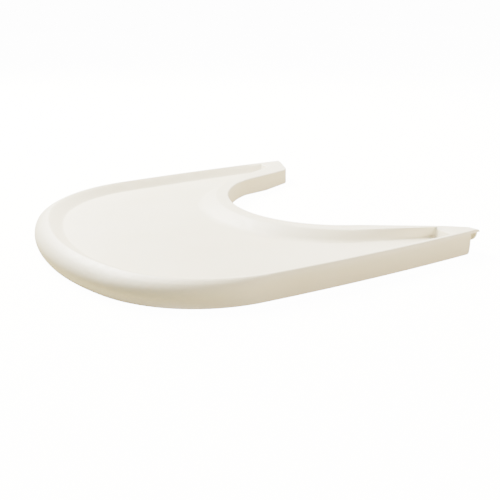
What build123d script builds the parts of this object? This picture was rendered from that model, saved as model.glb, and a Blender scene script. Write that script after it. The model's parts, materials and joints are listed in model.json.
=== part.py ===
"""Detachable tray for a baby high chair.

Millimetres, +Z up. The origin is the middle of the bottom of the tray's box.
+Y points toward the child, -Y is the rounded front, +X is the child's left.
"""
import os
from math import acos, cos, radians, sin, tan

from build123d import *

os.makedirs("parts", exist_ok=True)

# ---- tray: overall sizes ----
WIDTH = 400.0            # widest place, across the two arms
LENGTH = 409.0           # front edge to arm tips
HEIGHT = 25.0            # bottom of the skirt to the top of the rim
WALL = 2.6               # moulded wall
DISH_DEPTH = 10.1        # rim top down to the tray floor

# ---- tray: plan outline (three tangent arcs on each side) ----
FRONT_R = 290.0          # shallow front arc
FRONT_TURN = 22.3        # degrees that the front arc turns
SIDE_TURN = 63.6         # degrees that the corner arc turns
SIDE_R = 2350.0          # almost straight side arc
TUCK = 4.0               # how far the skirt's bottom tucks under the bulge at the front
SHOULDER = 15.0          # front: from the bulge in to the rim crest
SIDE_TUCK = 0.8          # the same two sizes at the sides
SIDE_SHOULDER = 3.6
RIM_CREST = 2.6          # width of the rounded top of the rim
RIM_SLOPE = 14.0         # rim wall, level distance from its crest to the floor

# ---- tray: torso opening (an arc and two straight flares) ----
CUT_APEX = 176.9         # arm tips back to the middle of the opening
CUT_FLARE = 66.0         # degrees from across to the straight edges
CUT_MOUTH = 323.8        # width between the two edges at the arm tips
CUT_DRAFT = 0.8
LIP_APEX = 13.9          # top of the lip wall, forward of the opening's edge
LIP_FLARE = 64.5
LIP_OUT = 22.0           # top of the lip wall, outside the edge at the tips
FOOT_APEX = 41.0         # foot of the lip wall, forward of the opening's edge
FOOT_FLARE = 77.0
FOOT_OUT = 12.0
EDGE_ROUND = 2.2         # rounding of the top edges
INNER_SKIRT_Z = 4.0      # the skirt at the opening stops this far above the bottom
SKIRT_FALL_BACK = 107.0  # arm tips back to where it starts to come down to the bottom
SKIRT_FALL_RUN = 46.0

# ---- tray: arm tips ----
TIP_SLANT = 13.0         # degrees that each end is turned from straight across
TIP_CORNER_IN = 0.95     # side in to the tip's outer corner, just under the rounded edge
TIP_INNER_R = 20.0
TIP_DIP = 5.5            # how far the lip's edge comes down at the tip
DIP_BACK = 116.0         # arm tips back to where it starts to come down
DIP_IN = 10.0            # tip's outer corner in to the start of the dip
DIP_ROUND = 2.5
PAD_LENGTH = 34.0        # flat pad at each tip
RAMP_LENGTH = 4.0
SKIRT_STOP = 14.5        # the outer skirt stops this far short of the tip
SKIRT_ROUND = 2.5
END_ROUND = 10.0         # lower outer corner of the wall under each end
END_RISE = 10.0          # that wall's lower edge, above the bottom
END_RUN = 18.0           # and how far it slopes down toward the opening

# ---- chair rail that the tray clips over ----
RAIL_GAP = 3.5           # rail to the opening's edge
RAIL_WIDTH = 14.0
RAIL_REACH = 7.0         # how far each nose goes under the rail

# ---- latches ----
LATCH_BACK = 95.0        # arm tips back to the middle of the latch
LATCH_TRAVEL = 9.0
LATCH_W = 22.0
LATCH_T = 6.6
LATCH_GAP = 0.3          # running clearance round the latch
LATCH_CLEAR = 1.5        # rail to the thick part of the latch
NOSE_W = 14.0
NOSE_T = 3.3
NOSE_RAMP = 2.4
TAB_OUT = 40.0           # thick part's inner end out to the far side of the tab
TAB_T = 5.0
TAB_W = 26.0
TAB_LOW = 0.8            # tab's lower edge above the skirt's bottom
GRIP_W = 23.0
GRIP_EDGE = 0.4          # grip to the tab's edge and to the latch's body
GRIP_T = 1.2
GRIP_RIDGE_R = 0.5
SPRING_R = 2.5           # outside radius of the coil
SPRING_WIRE = 0.6
SPRING_TURNS = 4
SPRING_LENGTH = 13.0
POST_T = 2.6
POST_W = 5.6

# ---- latch covers, bosses and screws ----
COVER_IN = 1.9           # thick part's inner end out to the cover
COVER_L = 20.5
COVER_W = 44.0
COVER_T = 2.2
COVER_EDGE = 4.2         # screw to the cover's edge
GUIDE_T = 1.6
BOSS_R = 3.4
PILOT_R = 1.4
PILOT_DEEP = 5.2
SHANK_R = 1.35
SCREW_HEAD_R = 2.8
SCREW_HEAD_T = 1.3
SCREW_HOLE_R = 1.6

# ---- front hook ----
HOOK_W = 44.0
HOOK_L = 24.0
HOOK_T = 2.6
HOOK_LIP_W = 24.0
HOOK_CLEAR = 3.0         # rail to the wide part of the hook
HOOK_SCREWS = 28.0       # between the two screws
HOOK_GUSSET = 1.6

# ---- soft pads under the lip ----
PAD_T = 4.6
PAD_W = 6.8
PAD_TURN = 26.0          # the front pad reaches this many degrees each way
PAD_BACK = 20.0          # slanted end, at the opening, back to each arm pad
PAD_RUN = 44.0

# ---- stiffening ribs under the floor ----
RIB_T = 1.8
RIB_DEEP = 4.6
RIB_STEP_X = 48.0
RIB_STEP_Y = 50.0
RIB_BACK = 224.0         # arm tips back to the ribs' rear ends
RIB_RUN = 160.0

# ---- worked out from the sizes above ----
Y_FRONT = -LENGTH / 2
Y_TIP = LENGTH / 2
FAR = 40.0               # how far the shaping solids run past the tips
FLOOR_Z = HEIGHT - DISH_DEPTH
UNDER_Z = FLOOR_Z - WALL
LIP_UNDER_Z = HEIGHT - WALL
CUT = (Y_TIP - CUT_APEX, CUT_FLARE, CUT_MOUTH / 2)
LIP = (CUT[0] - LIP_APEX, LIP_FLARE, CUT_MOUTH / 2 + LIP_OUT)
FOOT = (CUT[0] - FOOT_APEX, FOOT_FLARE, CUT_MOUTH / 2 + FOOT_OUT)
LATCH_Y = Y_TIP - LATCH_BACK
LATCH_TOP = UNDER_Z - LATCH_GAP
LATCH_Z = LATCH_TOP - LATCH_T
COVER_TOP = LATCH_Z - LATCH_GAP
GRIP_H = LATCH_Z - TAB_LOW - 2 * GRIP_EDGE


def d_face(front, side, y_end, z):
    """The tray's plan, drawn in from its box by `front` and `side`."""
    a1 = radians(FRONT_TURN)
    a2 = radians(FRONT_TURN + SIDE_TURN)
    r1 = FRONT_R - front
    r3 = SIDE_R - side
    half = WIDTH / 2 - side
    r2 = (half - r1 * sin(a1) - r3 * (1 - sin(a2))) / (sin(a2) - sin(a1))
    y0 = Y_FRONT + front
    c1 = Vector(0, y0 + r1)
    p1 = c1 + Vector(sin(a1), -cos(a1)) * r1
    c2 = p1 + Vector(-sin(a1), cos(a1)) * r2
    p2 = c2 + Vector(sin(a2), -cos(a2)) * r2
    c3 = p2 + Vector(-sin(a2), cos(a2)) * r3
    a3 = acos((c3.Y - y_end) / r3)
    p3 = c3 + Vector(sin(a3), -cos(a3)) * r3
    m2 = c2 + Vector(sin((a1 + a2) / 2), -cos((a1 + a2) / 2)) * r2
    m3 = c3 + Vector(sin((a2 + a3) / 2), -cos((a2 + a3) / 2)) * r3

    def other(p):
        return Vector(-p.X, p.Y)

    edges = [
        Edge.make_three_point_arc(other(p1), Vector(0, y0), p1),
        Edge.make_three_point_arc(p1, m2, p2),
        Edge.make_three_point_arc(p2, m3, p3),
        Edge.make_line(p3, other(p3)),
        Edge.make_three_point_arc(other(p3), other(m3), other(p2)),
        Edge.make_three_point_arc(other(p2), other(m2), other(p1)),
    ]
    return Pos(0, 0, z) * Face(Wire(edges))


def u_line(shape, grow):
    """Arc radius and the straight edge's first point for a U-shaped region."""
    apex, flare, x_tip = shape
    a = radians(flare)
    r = (x_tip * sin(a) - (Y_TIP - apex) * cos(a)) / (1 - cos(a)) + grow
    y0 = apex - grow
    return r, y0, a, Vector(r * sin(a), y0 + r - r * cos(a))


def u_x(shape, grow, y):
    """Where the region's edge is at y, on the +X side."""
    r, y0, a, p = u_line(shape, grow)
    if y >= p.Y:
        return p.X + (y - p.Y) / tan(a)
    return (r * r - (y0 + r - y) ** 2) ** 0.5


def u_face(shape, grow, z, far=FAR):
    r, y0, a, p = u_line(shape, grow)
    q = Vector(p.X + (Y_TIP + far - p.Y) / tan(a), Y_TIP + far)
    edges = [
        Edge.make_three_point_arc(Vector(-p.X, p.Y), Vector(0, y0), p),
        Edge.make_line(p, q),
        Edge.make_line(q, Vector(-q.X, q.Y)),
        Edge.make_line(Vector(-q.X, q.Y), Vector(-p.X, p.Y)),
    ]
    return Pos(0, 0, z) * Face(Wire(edges))


def between(a, b, f):
    return tuple(p + (q - p) * f for p, q in zip(a, b))


def outer_solid(thin):
    """The tray's outside, or its inside when `thin` is the wall."""
    # height share, front draw-in, side draw-in
    rows = [
        (0.0, TUCK, SIDE_TUCK),
        (0.20, TUCK * 0.28, SIDE_TUCK * 0.3),
        (0.42, 0.0, 0.0),
        (0.64, SHOULDER * 0.09, SIDE_SHOULDER * 0.05),
        (0.84, SHOULDER * 0.40, SIDE_SHOULDER * 0.25),
        (0.95, SHOULDER * 0.74, SIDE_SHOULDER * 0.60),
        (1.0, SHOULDER, SIDE_SHOULDER),
    ]
    faces = []
    for share, front, side in rows:
        z = share * (HEIGHT - thin)
        faces.append(d_face(front + thin, side + thin, Y_TIP + FAR, z))
    body = loft(faces)
    if thin:
        low = d_face(TUCK + thin, SIDE_TUCK + thin, Y_TIP + FAR, 0)
        body += extrude(low, amount=-5)
    return body


def bowl_solid(thin):
    """The hollow above the floor, before the lip is left in it."""
    rows = [
        (FLOOR_Z, 1.0, 1.0),
        (FLOOR_Z + DISH_DEPTH * 0.14, 0.80, 0.86),
        (FLOOR_Z + DISH_DEPTH * 0.55, 0.42, 0.42),
        (HEIGHT, 0.0, 0.0),
        (HEIGHT + DISH_DEPTH * 0.3, -0.2, -0.2),
    ]
    faces = []
    for z, share, ramp in rows:
        front = SHOULDER + RIM_CREST + RIM_SLOPE * share - thin
        side = SIDE_SHOULDER + RIM_CREST + RIM_SLOPE * share - thin
        y_end = Y_TIP - PAD_LENGTH - RAMP_LENGTH * ramp + thin
        faces.append(d_face(front, side, y_end, z - thin))
    return loft(faces)


def lip_solid(thin):
    """The raised lip round the torso opening."""
    rows = [
        (-0.30, -0.06),
        (0.0, 0.0),
        (0.10, 0.17),
        (0.36, 0.42),
        (0.74, 0.72),
        (0.94, 0.90),
        (1.0, 1.0),
    ]
    faces = []
    for up, share in rows:
        z = FLOOR_Z + DISH_DEPTH * up - thin
        faces.append(u_face(between(FOOT, LIP, share), -thin, z))
    body = loft(faces)
    top = u_face(between(FOOT, LIP, 1.0), -thin, HEIGHT - thin)
    return body + extrude(top, amount=DISH_DEPTH)


def cut_solid(grow):
    low = u_face(CUT, grow - CUT_DRAFT - 0.2, -6)
    high = u_face(CUT, grow + 0.2, HEIGHT + 6)
    return loft([low, high], ruled=True)


def plan_box(x0, x1, y0, y1, z0, z1):
    return Pos((x0 + x1) / 2, (y0 + y1) / 2, (z0 + z1) / 2) * Box(x1 - x0, y1 - y0, z1 - z0)


def u_frame(shape, grow, y):
    """A point on the region's straight edge and the edge's direction there."""
    r, y0, a, p = u_line(shape, grow)
    return Vector(u_x(shape, grow, y), y), Vector(cos(a), sin(a))


def rod(x, y, z0, z1, radius):
    return Pos(x, y, (z0 + z1) / 2) * Cylinder(radius, z1 - z0)


def both_sides(shape):
    return shape + mirror(shape, Plane.YZ)


def standing_edges(solid, count):
    """The upright edges where the tips' ends meet the torso opening."""
    edges = [e for e in solid.edges() if e.center().Y > Y_TIP - 40]
    edges = [e for e in edges if abs(e.tangent_at(0.5).Z) > 0.9]
    return sorted(edges, key=lambda e: abs(e.center().X))[:count]


def tip_corner_x():
    """Half the tray's width at the very ends of the arms."""
    plan = d_face(0, TIP_CORNER_IN, Y_TIP, 0)
    return max(v.X for v in plan.vertices() if abs(v.Y - Y_TIP) < 0.1)


def past_tip(thin):
    """What lies past the slanted end of the +X arm, moved in by `thin`."""
    past = Rot(0, 0, TIP_SLANT) * plan_box(-WIDTH, WIDTH, 0, WIDTH, -30, HEIGHT + 30)
    past = Pos(TIP_X, Y_TIP - thin / cos(radians(TIP_SLANT)), 0) * past
    return past & plan_box(0, WIDTH, 0, WIDTH * 2, -30, HEIGHT + 30)


def dip_space(thin):
    """Above the plane that the lip's edge follows down to the +X tip."""
    y = Y_TIP - DIP_BACK
    a = Vector(TIP_X - DIP_IN, Y_TIP - DIP_IN * tan(radians(TIP_SLANT)), HEIGHT)
    b = Vector(u_x(CUT, 0, y), y, HEIGHT)
    c = Vector(u_x(CUT, 0, Y_END), Y_END, HEIGHT - TIP_DIP)
    up = (c - a).cross(b - a).normalized()
    plane = Plane(origin=a - up * thin, x_dir=(b - a).normalized(), z_dir=up)
    above = plane * (Pos(0, 0, WIDTH / 2) * Box(WIDTH * 2, WIDTH * 2, WIDTH))
    return above & plan_box(0, WIDTH, y, WIDTH, -20, WIDTH)


def dip_cutter():
    """The dip with its edge rounded over into the opening and the tip's end."""
    y = Y_TIP - DIP_BACK
    cap = plan_box(0, WIDTH / 2, y, WIDTH, -5, HEIGHT + 5) - past_tip(0) - cut_solid(0)
    cap = fillet(standing_edges(cap, 1), TIP_INNER_R)
    cap -= dip_space(0)
    slope = cap.faces().filter_by(lambda f: f.normal_at().Z > 0.5).sort_by(Axis.Z)[0]
    edges = [e for e in slope.edges() if e.center().Y > y + 1 and e.center().X < TIP_X]
    cap = fillet([e for e in edges if e.center().Z < HEIGHT + 3], DIP_ROUND)
    return plan_box(0, TIP_X - DIP_IN + 2, y, WIDTH, -5, HEIGHT + 5) - cap


TIP_X = tip_corner_x()
Y_END = Y_TIP - (TIP_X - CUT[2]) * tan(radians(TIP_SLANT))  # the slanted end, at the opening

# ---- places of the latch's pieces, +X side ----
LATCH_X = u_x(CUT, RAIL_GAP + RAIL_WIDTH, LATCH_Y + LATCH_W / 2) + LATCH_CLEAR
TAB_X1 = LATCH_X + TAB_OUT
TAB_X0 = TAB_X1 - TAB_T
SPRING_X0 = LATCH_X + 3.0
SPRING_X1 = SPRING_X0 + SPRING_LENGTH
POST_X1 = SPRING_X1 + POST_T
SPRING_Z = (LATCH_Z + LATCH_TOP) / 2
COVER_X0 = LATCH_X + COVER_IN
COVER_X1 = COVER_X0 + COVER_L
COVER_SCREWS = [
    (x, LATCH_Y + side * (COVER_W / 2 - COVER_EDGE))
    for x in (COVER_X0 + COVER_EDGE, COVER_X1 - COVER_EDGE)
    for side in (-1, 1)
]
RAIL_Z = LATCH_Z + NOSE_T + LATCH_GAP
HOOK_TOP = RAIL_Z - LATCH_GAP
HOOK_Y1 = CUT[0] - RAIL_GAP - RAIL_WIDTH - HOOK_CLEAR
HOOK_Y0 = HOOK_Y1 - HOOK_L
HOOK_HOLES = [(side * HOOK_SCREWS / 2, HOOK_Y0 + HOOK_L * 0.42) for side in (-1, 1)]


def tray_block():
    """The tray's whole outer shape, before it is hollowed from below."""
    block = outer_solid(0)
    block -= both_sides(past_tip(0))
    block -= cut_solid(0)
    block = fillet(standing_edges(block, 2), TIP_INNER_R)
    top = block.faces().sort_by(Axis.Z)[-1]
    block = fillet(top.edges(), EDGE_ROUND)
    block -= both_sides(dip_cutter())
    return block - (bowl_solid(0) - lip_solid(0))


def ribs():
    y1 = Y_TIP - RIB_BACK
    y0 = y1 - RIB_RUN
    z0 = UNDER_Z - RIB_DEEP
    out = []
    for i in range(-3, 3):
        x = (i + 0.5) * RIB_STEP_X
        out.append(plan_box(x - RIB_T / 2, x + RIB_T / 2, y0, y1, z0, HEIGHT))
    for i in range(3):
        y = y0 + (i + 0.5) * RIB_STEP_Y
        out.append(plan_box(-WIDTH / 2, WIDTH / 2, y - RIB_T / 2, y + RIB_T / 2, z0, HEIGHT))
    return out


def latch_seat():
    """Bosses, guides and spring post that hang from the floor, +X side."""
    out = [rod(x, y, COVER_TOP, HEIGHT, BOSS_R) for x, y in COVER_SCREWS]
    for side in (-1, 1):
        y = LATCH_Y + side * (LATCH_W / 2 + LATCH_GAP + GUIDE_T / 2)
        out.append(plan_box(COVER_X0, COVER_X1, y - GUIDE_T / 2, y + GUIDE_T / 2, COVER_TOP, HEIGHT))
    y0 = LATCH_Y - POST_W / 2
    out.append(plan_box(SPRING_X1, POST_X1, y0, y0 + POST_W, LATCH_Z, HEIGHT))
    return out


def make_tray():
    block = tray_block()
    void = outer_solid(WALL)
    void -= both_sides(past_tip(WALL))
    void -= cut_solid(WALL)
    void = fillet(standing_edges(void, 2), TIP_INNER_R - WALL)
    void -= both_sides(dip_space(WALL))
    void -= bowl_solid(WALL) - lip_solid(WALL)
    for piece in ribs():
        void -= piece
    for piece in latch_seat():
        void -= piece
        void -= mirror(piece, Plane.YZ)
    for x, y in HOOK_HOLES:
        void -= rod(x, y, HOOK_TOP, HEIGHT, BOSS_R)
    tray = block - void

    # pilot holes
    for x, y in COVER_SCREWS:
        tray -= both_sides(rod(x, y, COVER_TOP - 1, COVER_TOP + PILOT_DEEP, PILOT_R))
    for x, y in HOOK_HOLES:
        tray -= rod(x, y, HOOK_TOP - 1, HOOK_TOP + PILOT_DEEP, PILOT_R)

    # the skirt at the opening is shorter, and comes down again toward the tips
    y0 = Y_TIP - SKIRT_FALL_BACK
    profile = Polyline(
        (0, Y_FRONT, -10),
        (0, Y_FRONT, INNER_SKIRT_Z),
        (0, y0, INNER_SKIRT_Z),
        (0, y0 + SKIRT_FALL_RUN, 0),
        (0, y0 + SKIRT_FALL_RUN, -10),
        close=True,
    )
    below = Pos(-WIDTH, 0, 0) * extrude(make_face(profile), amount=WIDTH * 2, dir=(1, 0, 0))
    tray -= below & extrude(u_face(CUT, WALL + 1.2, -10), amount=HEIGHT)

    # the wall under each end is rounded at its outer corner and open beside it
    x0 = WIDTH / 2 - WALL - 3.5
    y0 = Y_TIP - SKIRT_STOP
    xc = x0 - END_ROUND
    zc = END_RISE + END_ROUND
    q = END_ROUND * sin(radians(45))
    outline = [
        Edge.make_line((xc - END_RUN, y0, -10), (xc - END_RUN, y0, 0)),
        Edge.make_line((xc - END_RUN, y0, 0), (xc, y0, END_RISE)),
        Edge.make_three_point_arc((xc, y0, END_RISE), (xc + q, y0, zc - q), (x0, y0, zc)),
        Edge.make_line((x0, y0, zc), (x0, y0, LIP_UNDER_Z)),
        Edge.make_line((x0, y0, LIP_UNDER_Z), (WIDTH, y0, LIP_UNDER_Z)),
        Edge.make_line((WIDTH, y0, LIP_UNDER_Z), (WIDTH, y0, -10)),
        Edge.make_line((WIDTH, y0, -10), (xc - END_RUN, y0, -10)),
    ]
    tray -= both_sides(extrude(Face(Wire(outline)), amount=SKIRT_STOP + 10, dir=(0, 1, 0)))

    # rounding at the lower end of the outer skirt
    edge = plan_box(x0, WIDTH / 2 + 10, y0 - SKIRT_ROUND, y0 + 1, -10, SKIRT_ROUND)
    round_rod = Rot(0, 90, 0) * Cylinder(SKIRT_ROUND, WIDTH)
    edge -= Pos(WIDTH / 2, y0 - SKIRT_ROUND, SKIRT_ROUND) * round_rod
    edge -= plan_box(x0 - 1, WIDTH / 2 + 11, y0, y0 + 2, -11, SKIRT_ROUND + 1)
    tray -= both_sides(edge)
    return tray


def make_latch():
    y = LATCH_Y
    far = RAIL_GAP + RAIL_WIDTH - RAIL_REACH
    low = y - NOSE_W / 2
    high = y + NOSE_W / 2
    plan = Polyline(
        (u_x(CUT, far, low), low),
        (LATCH_X + 1, low),
        (LATCH_X + 1, high),
        (u_x(CUT, far, high), high),
        close=True,
    )
    nose = Pos(0, 0, LATCH_Z) * extrude(make_face(plan), amount=NOSE_T)
    # a sloping underside lets the rail push the nose back
    tip, along = u_frame(CUT, far, y)
    angle = 90 - CUT_FLARE
    wedge = Rot(0, 45, 0) * Box(NOSE_RAMP * 1.4142, NOSE_W * 3, NOSE_RAMP * 1.4142)
    nose -= Pos(tip.X, tip.Y, LATCH_Z) * (Rot(0, 0, -angle) * wedge)
    body = plan_box(LATCH_X, TAB_X1, y - LATCH_W / 2, y + LATCH_W / 2, LATCH_Z, LATCH_TOP)
    body = fillet(body.edges().filter_by(Axis.Z), 1.5)
    tab = plan_box(TAB_X0, TAB_X1, y - TAB_W / 2, y + TAB_W / 2, TAB_LOW, LATCH_TOP)
    tab = fillet(tab.edges().filter_by(Axis.X), 2.0)
    half = SPRING_R + 0.7
    window = plan_box(SPRING_X0, POST_X1 + LATCH_GAP, y - half, y + half, 0, HEIGHT)
    return nose + body + tab - window


def make_grip():
    """Soft ridged pad on the tab's inner face."""
    z0 = TAB_LOW + GRIP_EDGE
    y = LATCH_Y
    pad = plan_box(TAB_X0 - GRIP_T, TAB_X0, y - GRIP_W / 2, y + GRIP_W / 2, z0, z0 + GRIP_H)
    for i in range(3):
        z = z0 + GRIP_H * (i + 0.5) / 3
        ridge = Rot(90, 0, 0) * Cylinder(GRIP_RIDGE_R, GRIP_W - 2)
        pad += Pos(TAB_X0 - GRIP_T, y, z) * ridge
    return pad


def make_spring():
    mean = SPRING_R - SPRING_WIRE / 2
    first = SPRING_WIRE / 2
    run = SPRING_LENGTH - SPRING_WIRE
    path = Helix(pitch=run / SPRING_TURNS, height=run, radius=mean)
    coil = sweep(Plane(path @ 0, z_dir=path % 0) * Circle(SPRING_WIRE / 2), path)
    ring = Torus(mean, SPRING_WIRE / 2)
    coil = coil + ring + Pos(0, 0, run) * ring
    return Pos(SPRING_X0 + first, LATCH_Y, SPRING_Z) * (Rot(0, 90, 0) * coil)


def make_cover():
    y0 = LATCH_Y - COVER_W / 2
    plate = plan_box(COVER_X0, COVER_X1, y0, y0 + COVER_W, COVER_TOP - COVER_T, COVER_TOP)
    plate = fillet(plate.edges().filter_by(Axis.Z), 3.0)
    for x, y in COVER_SCREWS:
        plate -= rod(x, y, 0, HEIGHT, SCREW_HOLE_R)
    return plate


def screw(x, y, seat):
    """Pan-head screw driven upward, its head against `seat`."""
    head = rod(x, y, seat - SCREW_HEAD_T, seat, SCREW_HEAD_R)
    head = fillet(head.edges().sort_by(Axis.Z)[0], SCREW_HEAD_T * 0.5)
    for turn in (0, 90):
        slot = Rot(0, 0, turn) * Box(SCREW_HEAD_R, 0.6, 1.2)
        head -= Pos(x, y, seat - SCREW_HEAD_T) * slot
    return head


def make_cover_screws():
    out = []
    seat = COVER_TOP - COVER_T
    for x, y in COVER_SCREWS:
        shank = rod(x, y, seat - 0.1, COVER_TOP + PILOT_DEEP - 0.6, SHANK_R)
        out.append(screw(x, y, seat) + shank)
    return out


def make_hook():
    wide = plan_box(-HOOK_W / 2, HOOK_W / 2, HOOK_Y0, HOOK_Y1, HOOK_TOP - HOOK_T, HOOK_TOP)
    wide = fillet(wide.edges().filter_by(Axis.Z), 3.0)
    y1 = CUT[0] - RAIL_GAP - RAIL_WIDTH + RAIL_REACH
    half = HOOK_LIP_W / 2
    lip = plan_box(-half, half, HOOK_Y1 - 4, y1, HOOK_TOP - HOOK_T, HOOK_TOP)
    ends = [e for e in lip.edges().filter_by(Axis.Z) if e.center().Y > HOOK_Y1]
    lip = fillet(ends, 4.0)
    hook = wide + lip
    for x in (-half + 3, half - 3):
        z0 = HOOK_TOP - HOOK_T - HOOK_GUSSET
        hook += plan_box(x - 1, x + 1, HOOK_Y0 + 3, y1 - 4, z0, HOOK_TOP - HOOK_T)
    for x, y in HOOK_HOLES:
        hook -= rod(x, y, 0, HEIGHT, SCREW_HOLE_R)
    return hook


def make_hook_screws():
    seat = HOOK_TOP - HOOK_T
    out = []
    for x, y in HOOK_HOLES:
        shank = rod(x, y, seat - 0.1, HOOK_TOP + PILOT_DEEP - 0.6, SHANK_R)
        out.append(screw(x, y, seat) + shank)
    return out


def make_front_pad():
    r, y0, a, p = u_line(CUT, RAIL_GAP)
    c = Vector(0, y0 + r)
    a = radians(PAD_TURN)

    def at(radius, angle):
        return Vector(radius * sin(angle), c.Y - radius * cos(angle))

    edges = [
        Edge.make_three_point_arc(at(r, -a), at(r, 0), at(r, a)),
        Edge.make_line(at(r, a), at(r + PAD_W, a)),
        Edge.make_three_point_arc(at(r + PAD_W, a), at(r + PAD_W, 0), at(r + PAD_W, -a)),
        Edge.make_line(at(r + PAD_W, -a), at(r, -a)),
    ]
    pad = extrude(Pos(0, 0, LIP_UNDER_Z) * Face(Wire(edges)), amount=PAD_T, dir=(0, 0, -1))
    return fillet(pad.edges().filter_by(Axis.Z), 2.0)


def make_arm_pad():
    end, along = u_frame(CUT, RAIL_GAP + PAD_W / 2, Y_END - PAD_BACK)
    mid = end - along * (PAD_RUN / 2)
    bar = fillet(Box(PAD_RUN, PAD_W, PAD_T).edges().filter_by(Axis.Z), 2.0)
    bar = Pos(mid.X, mid.Y, LIP_UNDER_Z - PAD_T / 2) * (Rot(0, 0, CUT_FLARE) * bar)
    return bar - dip_space(WALL)


def save(shape, node):
    if isinstance(shape, list):
        shape = Compound(shape)
    export_step(shape, "parts/" + node + ".step")


def save_pair(shape, node):
    """The left piece as modelled, and its mirror image on the right."""
    pieces = shape if isinstance(shape, list) else [shape]
    save(pieces if len(pieces) > 1 else pieces[0], "left_" + node)
    turned = [mirror(p, Plane.YZ) for p in pieces]
    save(turned if len(turned) > 1 else turned[0], "right_" + node)


save(make_tray(), "tray_body")
save(make_hook(), "front_rail_hook")
save(make_hook_screws(), "front_hook_screws")
save(make_front_pad(), "front_grip_pad")
save_pair(make_latch(), "latch")
save_pair(make_grip(), "latch_grip")
save_pair(make_spring(), "latch_spring")
save_pair(make_cover(), "latch_cover")
save_pair(make_cover_screws(), "cover_screws")
save_pair(make_arm_pad(), "arm_grip_pad")
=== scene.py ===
"""Looks for a detachable high chair tray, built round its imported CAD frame.

Each piece has an operator of its own. The tray's shell and its small fittings keep their CAD
shape and get merged, smooth-shaded copies; the two springs are made here.
"""
import json
import math

import bmesh
import bpy
from bpy.props import FloatProperty, FloatVectorProperty, PointerProperty, StringProperty
from mathutils import Matrix, Vector

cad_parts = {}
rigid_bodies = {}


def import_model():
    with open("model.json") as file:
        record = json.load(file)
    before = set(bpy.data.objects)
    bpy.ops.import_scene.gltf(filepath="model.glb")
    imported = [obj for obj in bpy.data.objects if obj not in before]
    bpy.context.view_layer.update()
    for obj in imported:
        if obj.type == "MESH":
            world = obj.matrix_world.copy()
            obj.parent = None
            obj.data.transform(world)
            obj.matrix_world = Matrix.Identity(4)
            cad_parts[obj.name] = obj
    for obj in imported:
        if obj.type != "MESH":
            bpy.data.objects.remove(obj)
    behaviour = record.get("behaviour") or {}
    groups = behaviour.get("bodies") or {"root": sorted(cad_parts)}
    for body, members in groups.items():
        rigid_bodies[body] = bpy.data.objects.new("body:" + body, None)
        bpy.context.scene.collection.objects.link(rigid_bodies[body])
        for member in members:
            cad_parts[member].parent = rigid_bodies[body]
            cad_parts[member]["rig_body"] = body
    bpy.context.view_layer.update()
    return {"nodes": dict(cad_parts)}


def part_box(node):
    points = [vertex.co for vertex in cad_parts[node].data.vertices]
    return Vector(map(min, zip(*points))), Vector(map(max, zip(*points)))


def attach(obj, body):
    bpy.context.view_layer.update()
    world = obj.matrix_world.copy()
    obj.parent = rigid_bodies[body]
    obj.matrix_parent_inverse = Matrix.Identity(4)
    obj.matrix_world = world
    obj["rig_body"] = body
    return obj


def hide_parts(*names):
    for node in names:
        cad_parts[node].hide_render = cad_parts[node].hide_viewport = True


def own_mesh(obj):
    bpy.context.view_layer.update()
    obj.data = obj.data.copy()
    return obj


bl_info = {
    "name": "High Chair Tray",
    "version": (1, 0, 0),
    "blender": (4, 5, 0),
    "location": "3D View > Sidebar > Tray",
    "description": "Builds the looks of a clip-on high chair tray and its latches",
    "category": "Object",
}

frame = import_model()
MM = 0.001

# sizes of the patterns on the finishes
PATCH = 60 * MM             # the shell's patches of slightly deeper cream
RIPPLE = 9 * MM             # unevenness where a moulded wall cooled
ERODED_GRAIN = 0.8 * MM     # the mould's eroded face, drawn coarser than the real 0.1 mm so that it shows
ELASTOMER_GRAIN = 0.5 * MM
DRAWN_GRAIN = 0.4 * MM

# how the meshes are made
WELD = 2e-6                 # metres between corners that are one corner
SHARP_ANGLE = math.radians(28)
WIRE_SIDES = 10
STEPS_PER_TURN = 24

# stage: name, place, width in metres, power in watts and colour of each light, all aimed at the tray
FLOOR_REACH = 6.0
SOFTBOXES = (
    ("key_softbox", (-1.3, -0.25, 1.3), 0.9, 245.0, "fffdf8"),
    ("rear_softbox", (-0.9, 1.2, 0.9), 1.0, 30.0, "ffffff"),
    ("fill_softbox", (1.2, 1.2, 0.7), 1.0, 50.0, "fff0d6"),
    ("under_softbox", (0.2, -0.3, -1.5), 0.5, 24.0, "fff6e4"),
)


# ---------------------------------------------------------------- colours and nodes

def srgb(text):
    """A hex colour such as "f0ede6" as linear RGBA."""
    out = []
    for i in (0, 2, 4):
        c = int(text[i:i + 2], 16) / 255
        out.append(c / 12.92 if c <= 0.04045 else ((c + 0.055) / 1.055) ** 2.4)
    return (*out, 1.0)


def add_node(tree, kind, settings=None, links=None):
    """Adds a node, sets its fields and sockets, and links `links` {input: socket}."""
    node = tree.nodes.new(kind)
    for key, value in (settings or {}).items():
        if key in node.inputs:
            node.inputs[key].default_value = value
        else:
            setattr(node, key, value)
    for key, socket in (links or {}).items():
        tree.links.new(socket, node.inputs[key])
    return node


def new_material(name):
    mat = bpy.data.materials.new(name)
    mat.use_nodes = True
    tree = mat.node_tree
    shader = tree.nodes["Principled BSDF"]
    coords = add_node(tree, "ShaderNodeTexCoord")
    return mat, tree, shader, coords.outputs["Object"]


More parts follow.
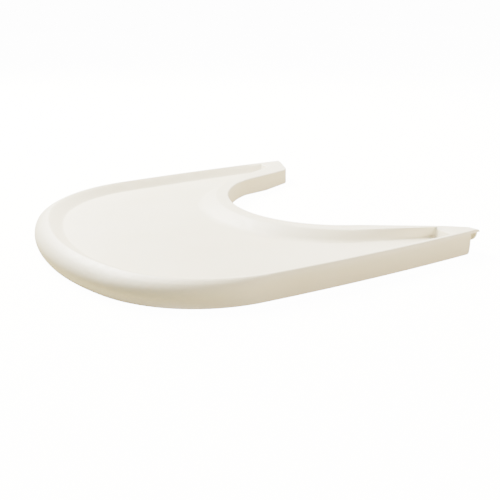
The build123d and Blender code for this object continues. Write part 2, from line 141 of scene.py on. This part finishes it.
def moulded_polypropylene(name, base, dark, roughness, grain=0.10):
    """Injection-moulded polypropylene with a fine spark-eroded face.

    The eye sees a soft, slightly waxy satin: a broad dull highlight, light that goes a
    little way in, and a faint unevenness where the wall cooled.
    """
    mat, tree, shader, where = new_material(name)
    tint = add_node(tree, "ShaderNodeTexNoise", {"Scale": 1 / PATCH, "Detail": 2.0}, {"Vector": where})
    mix = add_node(tree, "ShaderNodeMix", {"data_type": "RGBA"})
    mix.inputs["A"].default_value = srgb(base)
    mix.inputs["B"].default_value = srgb(dark)
    fade = add_node(tree, "ShaderNodeMapRange", {"From Min": 0.35, "From Max": 0.75},
                    {"Value": tint.outputs["Fac"]})
    tree.links.new(fade.outputs["Result"], mix.inputs["Factor"])
    tree.links.new(mix.outputs["Result"], shader.inputs["Base Color"])
    ripple = add_node(tree, "ShaderNodeTexNoise", {"Scale": 1 / RIPPLE, "Detail": 1.0}, {"Vector": where})
    fine = add_node(tree, "ShaderNodeTexNoise", {"Scale": 1 / ERODED_GRAIN, "Detail": 3.0},
                    {"Vector": where})
    smoothest, roughest = roughness - 0.04, roughness + 0.05
    rough = add_node(tree, "ShaderNodeMapRange",
                     {"From Min": 0.3, "From Max": 0.7, "To Min": smoothest, "To Max": roughest},
                     {"Value": ripple.outputs["Fac"]})
    tree.links.new(rough.outputs["Result"], shader.inputs["Roughness"])
    wave = add_node(tree, "ShaderNodeBump", {"Strength": 0.05, "Distance": 0.2 * MM},
                    {"Height": ripple.outputs["Fac"]})
    bump = add_node(tree, "ShaderNodeBump", {"Strength": grain, "Distance": 0.05 * MM},
                    {"Height": fine.outputs["Fac"], "Normal": wave.outputs["Normal"]})
    tree.links.new(bump.outputs["Normal"], shader.inputs["Normal"])
    shader.inputs["IOR"].default_value = 1.49
    shader.inputs["Subsurface Weight"].default_value = 0.10
    shader.inputs["Subsurface Radius"].default_value = (1.0, 0.8, 0.55)
    shader.inputs["Subsurface Scale"].default_value = 1.2 * MM
    return mat


def soft_elastomer(name, base):
    """Moulded thermoplastic elastomer: matt, with painted shade in the hollows of its grain and a soft sheen
    at grazing angles.
    """
    mat, tree, shader, where = new_material(name)
    fine = add_node(tree, "ShaderNodeTexNoise", {"Scale": 1 / ELASTOMER_GRAIN, "Detail": 4.0},
                    {"Vector": where})
    mix = add_node(tree, "ShaderNodeMix", {"data_type": "RGBA"}, {"Factor": fine.outputs["Fac"]})
    mix.inputs["A"].default_value = srgb(base)
    # painted shade: the hollows of the grain are drawn a darker grey
    painted_grain_shade = 0.82    # how much darker the hollows of the grain are
    mix.inputs["B"].default_value = tuple(painted_grain_shade * c for c in srgb(base)[:3]) + (1.0,)
    tree.links.new(mix.outputs["Result"], shader.inputs["Base Color"])
    bump = add_node(tree, "ShaderNodeBump", {"Strength": 0.25, "Distance": 0.1 * MM},
                    {"Height": fine.outputs["Fac"]})
    tree.links.new(bump.outputs["Normal"], shader.inputs["Normal"])
    shader.inputs["Roughness"].default_value = 0.82
    shader.inputs["IOR"].default_value = 1.45
    shader.inputs["Sheen Weight"].default_value = 0.15
    return mat


def drawn_steel(name, base, dark, roughness):
    """Zinc-plated steel: bright grey metal with a fine drawn grain and slight bluish plating."""
    mat, tree, shader, where = new_material(name)
    fine = add_node(tree, "ShaderNodeTexNoise", {"Scale": 1 / DRAWN_GRAIN, "Detail": 3.0},
                    {"Vector": where})
    mix = add_node(tree, "ShaderNodeMix", {"data_type": "RGBA"}, {"Factor": fine.outputs["Fac"]})
    mix.inputs["A"].default_value = srgb(base)
    mix.inputs["B"].default_value = srgb(dark)
    tree.links.new(mix.outputs["Result"], shader.inputs["Base Color"])
    rough = add_node(tree, "ShaderNodeMapRange", {"To Min": roughness - 0.08, "To Max": roughness + 0.08},
                     {"Value": fine.outputs["Fac"]})
    tree.links.new(rough.outputs["Result"], shader.inputs["Roughness"])
    shader.inputs["Metallic"].default_value = 1.0
    return mat


# ---------------------------------------------------------------- meshes

def merged_copy(node, name):
    """A welded, smooth-shaded copy of a CAD node, hard only where the mould is hard."""
    source = frame["nodes"][node]
    mesh = bpy.data.meshes.new(name)
    work = bmesh.new()
    work.from_mesh(source.data)
    bmesh.ops.remove_doubles(work, verts=work.verts, dist=WELD)
    bmesh.ops.dissolve_degenerate(work, edges=work.edges, dist=1e-7)
    for face in work.faces:
        face.smooth = True
        face.material_index = 0
    work.to_mesh(mesh)
    work.free()
    mesh.set_sharp_from_angle(angle=SHARP_ANGLE)
    piece = bpy.data.objects.new(name, mesh)
    bpy.context.scene.collection.objects.link(piece)
    even = piece.modifiers.new("even_shading", "WEIGHTED_NORMAL")
    even.keep_sharp = True
    even.weight = 60
    return piece


def dress(piece, material, node):
    """Gives a piece its material, joins it to its CAD node's body and hides that node."""
    piece.data.materials.clear()
    piece.data.materials.append(material)
    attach(piece, frame["nodes"][node]["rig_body"])
    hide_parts(node)
    return piece


# ---------------------------------------------------------------- settings

def colour(name, description, value):
    return StringProperty(name=name, description=description, default=value)


class TraySettings(bpy.types.PropertyGroup):
    shell: colour("Shell colour", "Cream of the tray's shell, as a hex colour", "f3ebcf")
    shell_dark: colour("Shell, second tone", "Slightly deeper cream in the moulding's uneven areas", "efe6c7")
    shell_roughness: FloatProperty(name="Shell roughness", description="How dull the shell's highlight is",
                                   default=0.46, min=0.1, max=1.0)


class FittingSettings(bpy.types.PropertyGroup):
    fitting: colour("Fitting colour", "Hook and latch covers, as a hex colour", "e3ddcf")
    fitting_dark: colour("Fitting, second tone", "Deeper tone of the hook and covers", "d8d1c1")
    latch: colour("Latch colour", "Sliding latches, as a hex colour", "d9d2c3")
    latch_dark: colour("Latch, second tone", "Deeper tone of the latches", "cfc7b6")
    grip: colour("Grip colour", "Soft pads and grips, as a hex colour", "8d8a83")
    steel: colour("Steel colour", "Springs and screws, as a hex colour", "c8cbce")
    steel_dark: colour("Steel, second tone", "Deeper tone of the springs and screws", "a9adb2")
    spring_wire: FloatProperty(name="Spring wire", description="Thickness of the springs' wire",
                               default=0.6 * MM, unit="LENGTH", subtype="DISTANCE")
    spring_turns: FloatProperty(name="Spring turns", description="Working turns of each spring", default=4.0)


class StageSettings(bpy.types.PropertyGroup):
    floor: colour("Floor colour", "Paper under the tray, as a hex colour", "a3996f")
    floor_glow: FloatProperty(name="Floor glow", description="How brightly the camera sees the paper",
                              default=14.0, min=0.0)
    room_light: FloatProperty(name="Room light", description="Even light all round", default=0.6, min=0.0)
    focal: FloatProperty(name="Focal length", description="Camera lens", default=48.82,
                         subtype="DISTANCE_CAMERA")
    azimuth: FloatProperty(name="Camera azimuth", description="Degrees round from the tray's front",
                           default=math.radians(59.44), subtype="ANGLE")
    elevation: FloatProperty(name="Camera elevation", description="Degrees above the horizon",
                             default=math.radians(19.89), subtype="ANGLE")
    distance: FloatProperty(name="Camera distance", description="Camera to the point it looks at",
                            default=0.7753, unit="LENGTH", subtype="DISTANCE")
    target: FloatVectorProperty(name="Camera target", description="The point that the camera looks at",
                                default=(0.0319, 0.0192, -0.0156), unit="LENGTH", subtype="XYZ")


# ---------------------------------------------------------------- operators

class TRAY_OT_shell(bpy.types.Operator):
    """Makes the tray's moulded shell"""
    bl_idname = "tray.shell"
    bl_label = "Tray shell"

    def execute(self, context):
        s = context.scene.tray_settings
        mat = moulded_polypropylene("moulded_polypropylene_cream", s.shell, s.shell_dark, s.shell_roughness)
        piece = merged_copy("tray_body", "tray_shell")
        dress(piece, mat, "tray_body")
        return {"FINISHED"}


class TRAY_OT_fixed_fittings(bpy.types.Operator):
    """Makes the front hook and the two latch covers"""
    bl_idname = "tray.fixed_fittings"
    bl_label = "Hook and covers"

    def execute(self, context):
        s = context.scene.fitting_settings
        # glass fibre near the face makes it greyer, duller and grainier than the shell
        mat = moulded_polypropylene("glass_filled_polypropylene", s.fitting, s.fitting_dark, 0.55, grain=0.2)
        for node in ("front_rail_hook", "left_latch_cover", "right_latch_cover"):
            dress(merged_copy(node, node + "_moulding"), mat, node)
        return {"FINISHED"}


class TRAY_OT_latches(bpy.types.Operator):
    """Makes the two sliding latches"""
    bl_idname = "tray.latches"
    bl_label = "Latches"

    def execute(self, context):
        s = context.scene.fitting_settings
        # acetal slides on a fine, slightly slippery-looking face
        mat = moulded_polypropylene("acetal_latch", s.latch, s.latch_dark, 0.38, grain=0.08)
        for node in ("left_latch", "right_latch"):
            dress(merged_copy(node, node + "_slider"), mat, node)
        return {"FINISHED"}


class TRAY_OT_grips(bpy.types.Operator):
    """Makes the soft pads under the lip and the ridged grips on the latch tabs"""
    bl_idname = "tray.grips"
    bl_label = "Soft pads and grips"

    def execute(self, context):
        s = context.scene.fitting_settings
        mat = soft_elastomer("moulded_elastomer_grey", s.grip)
        for node in ("front_grip_pad", "left_arm_grip_pad", "right_arm_grip_pad",
                     "left_latch_grip", "right_latch_grip"):
            dress(merged_copy(node, node + "_soft"), mat, node)
        return {"FINISHED"}


class TRAY_OT_screws(bpy.types.Operator):
    """Makes the pan-head screws"""
    bl_idname = "tray.screws"
    bl_label = "Screws"

    def execute(self, context):
        s = context.scene.fitting_settings
        mat = drawn_steel("zinc_plated_steel", s.steel, s.steel_dark, 0.34)
        for node in ("front_hook_screws", "left_cover_screws", "right_cover_screws"):
            dress(merged_copy(node, node + "_set"), mat, node)
        return {"FINISHED"}


class TRAY_OT_springs(bpy.types.Operator):
    """Winds the two latch springs at one length; the real springs shorten as the latches slide"""
    bl_idname = "tray.springs"
    bl_label = "Latch springs"

    def execute(self, context):
        s = context.scene.fitting_settings
        mat = drawn_steel("spring_steel_wire", s.steel, s.steel_dark, 0.24)
        joints = {"left": "left_latch_slide", "right": "right_latch_slide"}
        for side, joint in joints.items():
            node = side + "_latch_spring"
            low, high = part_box(node)
            piece = wound_spring(node + "_coil", low, high, s.spring_wire, s.spring_turns)
            dress(piece, mat, node)
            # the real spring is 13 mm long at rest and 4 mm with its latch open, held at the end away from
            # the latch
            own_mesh(piece)
        return {"FINISHED"}


def wound_spring(name, low, high, wire, turns):
    """A compression spring along X that fills the box, its end turns closed."""
    middle = (low + high) / 2
    radius = (high.z - low.z) / 2 - wire / 2
    length = high.x - low.x - wire
    work = bmesh.new()
    start = Matrix.Translation((low.x + wire / 2, middle.y, middle.z + radius))
    ring = bmesh.ops.create_circle(work, segments=WIRE_SIDES, radius=wire / 2, cap_ends=True,
                                   matrix=start @ Matrix.Rotation(math.pi / 2, 4, "X"))
    face = ring["verts"][0].link_faces[0]
    geom = [face] + list(face.edges) + list(face.verts)
    for rise, spins in ((0.0, 1.0), (length, turns), (0.0, 1.0)):
        steps = int(STEPS_PER_TURN * spins)
        out = bmesh.ops.spin(work, geom=geom, cent=(0, middle.y, middle.z), axis=(1, 0, 0),
                             dvec=(rise / steps, 0, 0), angle=2 * math.pi * spins, steps=steps,
                             use_merge=False, use_normal_flip=False, use_duplicate=False)
        geom = out["geom_last"]
    bmesh.ops.remove_doubles(work, verts=work.verts, dist=1e-7)
    bmesh.ops.recalc_face_normals(work, faces=work.faces)
    for face in work.faces:
        face.smooth = True
    mesh = bpy.data.meshes.new(name)
    work.to_mesh(mesh)
    work.free()
    piece = bpy.data.objects.new(name, mesh)
    bpy.context.scene.collection.objects.link(piece)
    return piece


class TRAY_OT_stage(bpy.types.Operator):
    """Makes the pale floor, the soft lights and the camera"""
    bl_idname = "tray.stage"
    bl_label = "Stage"

    def execute(self, context):
        s = context.scene.stage_settings
        scene = context.scene
        work = bmesh.new()
        bmesh.ops.create_grid(work, x_segments=1, y_segments=1, size=FLOOR_REACH)
        mesh = bpy.data.meshes.new("studio_floor")
        work.to_mesh(mesh)
        work.free()
        floor = bpy.data.objects.new("studio_floor", mesh)
        scene.collection.objects.link(floor)
        # warm matt paper that the camera sees as a glowing white sweep, so little light comes back up
        mat, tree, shader, _ = new_material("backlit_studio_paper")
        shader.inputs["Base Color"].default_value = srgb(s.floor)
        shader.inputs["Roughness"].default_value = 0.9
        shader.inputs["Emission Color"].default_value = srgb("ffffff")
        path = add_node(tree, "ShaderNodeLightPath")
        glow = add_node(tree, "ShaderNodeMath", {"operation": "MULTIPLY"})
        tree.links.new(path.outputs["Is Camera Ray"], glow.inputs[0])
        glow.inputs[1].default_value = s.floor_glow
        tree.links.new(glow.outputs["Value"], shader.inputs["Emission Strength"])
        # clear from below and to shadow rays, so that a light under the tray shows its underside
        facing = add_node(tree, "ShaderNodeNewGeometry")
        clear = add_node(tree, "ShaderNodeBsdfTransparent")
        either = add_node(tree, "ShaderNodeMath", {"operation": "MAXIMUM"})
        tree.links.new(facing.outputs["Backfacing"], either.inputs[0])
        tree.links.new(path.outputs["Is Shadow Ray"], either.inputs[1])
        sides = add_node(tree, "ShaderNodeMixShader", links={"Fac": either.outputs["Value"]})
        tree.links.new(shader.outputs["BSDF"], sides.inputs[1])
        tree.links.new(clear.outputs["BSDF"], sides.inputs[2])
        tree.links.new(sides.outputs["Shader"], tree.nodes["Material Output"].inputs["Surface"])
        mesh.materials.append(mat)

        world = bpy.data.worlds.new("studio_light")
        world.use_nodes = True
        back = world.node_tree.nodes["Background"]
        back.inputs["Color"].default_value = srgb("ffffff")
        # the camera sees a white wall behind the paper; everything else is lit by a dimmer room
        seen = add_node(world.node_tree, "ShaderNodeLightPath")
        level = add_node(world.node_tree, "ShaderNodeMapRange",
                         {"To Min": s.room_light, "To Max": s.floor_glow},
                         {"Value": seen.outputs["Is Camera Ray"]})
        world.node_tree.links.new(level.outputs["Result"], back.inputs["Strength"])
        scene.world = world

        for name, place, width, power, tint in SOFTBOXES:
            data = bpy.data.lights.new(name, "AREA")
            data.shape = "SQUARE"
            data.size = width
            data.energy = power
            data.color = srgb(tint)[:3]
            lamp = bpy.data.objects.new(name, data)
            lamp.location = place
            lamp.rotation_mode = "QUATERNION"
            lamp.rotation_quaternion = (-Vector(place)).to_track_quat("-Z", "Y")
            scene.collection.objects.link(lamp)

        data = bpy.data.cameras.new("camera")
        data.lens = s.focal
        data.sensor_width = 36.0
        camera = bpy.data.objects.new("camera", data)
        scene.collection.objects.link(camera)
        a, e = s.azimuth, s.elevation
        away = Vector((math.sin(a) * math.cos(e), -math.cos(a) * math.cos(e), math.sin(e)))
        camera.location = Vector(s.target) + away * s.distance
        camera.rotation_mode = "QUATERNION"
        camera.rotation_quaternion = (-away).to_track_quat("-Z", "Y")
        scene.camera = camera
        return {"FINISHED"}


class TRAY_PT_panel(bpy.types.Panel):
    bl_label = "High Chair Tray"
    bl_idname = "TRAY_PT_panel"
    bl_space_type = "VIEW_3D"
    bl_region_type = "UI"
    bl_category = "Tray"

    def draw(self, context):
        layout = self.layout
        for group in ("tray_settings", "fitting_settings", "stage_settings"):
            box = layout.box()
            settings = getattr(context.scene, group)
            for key in settings.__annotations__:
                box.prop(settings, key)
        for operator in OPERATORS:
            layout.operator(operator.bl_idname)


OPERATORS = (TRAY_OT_stage, TRAY_OT_shell, TRAY_OT_fixed_fittings, TRAY_OT_latches, TRAY_OT_grips,
             TRAY_OT_screws, TRAY_OT_springs)
GROUPS = {"tray_settings": TraySettings, "fitting_settings": FittingSettings, "stage_settings": StageSettings}


def register():
    for cls in (*GROUPS.values(), *OPERATORS, TRAY_PT_panel):
        bpy.utils.register_class(cls)
    for name, cls in GROUPS.items():
        setattr(bpy.types.Scene, name, PointerProperty(type=cls))


def unregister():
    for name in GROUPS:
        delattr(bpy.types.Scene, name)
    for cls in reversed((*GROUPS.values(), *OPERATORS, TRAY_PT_panel)):
        bpy.utils.unregister_class(cls)


def main():
    register()
    bpy.ops.tray.stage()
    bpy.ops.tray.shell()
    bpy.ops.tray.fixed_fittings()
    bpy.ops.tray.latches()
    bpy.ops.tray.grips()
    bpy.ops.tray.screws()
    bpy.ops.tray.springs()


if __name__ == "__main__":
    main()
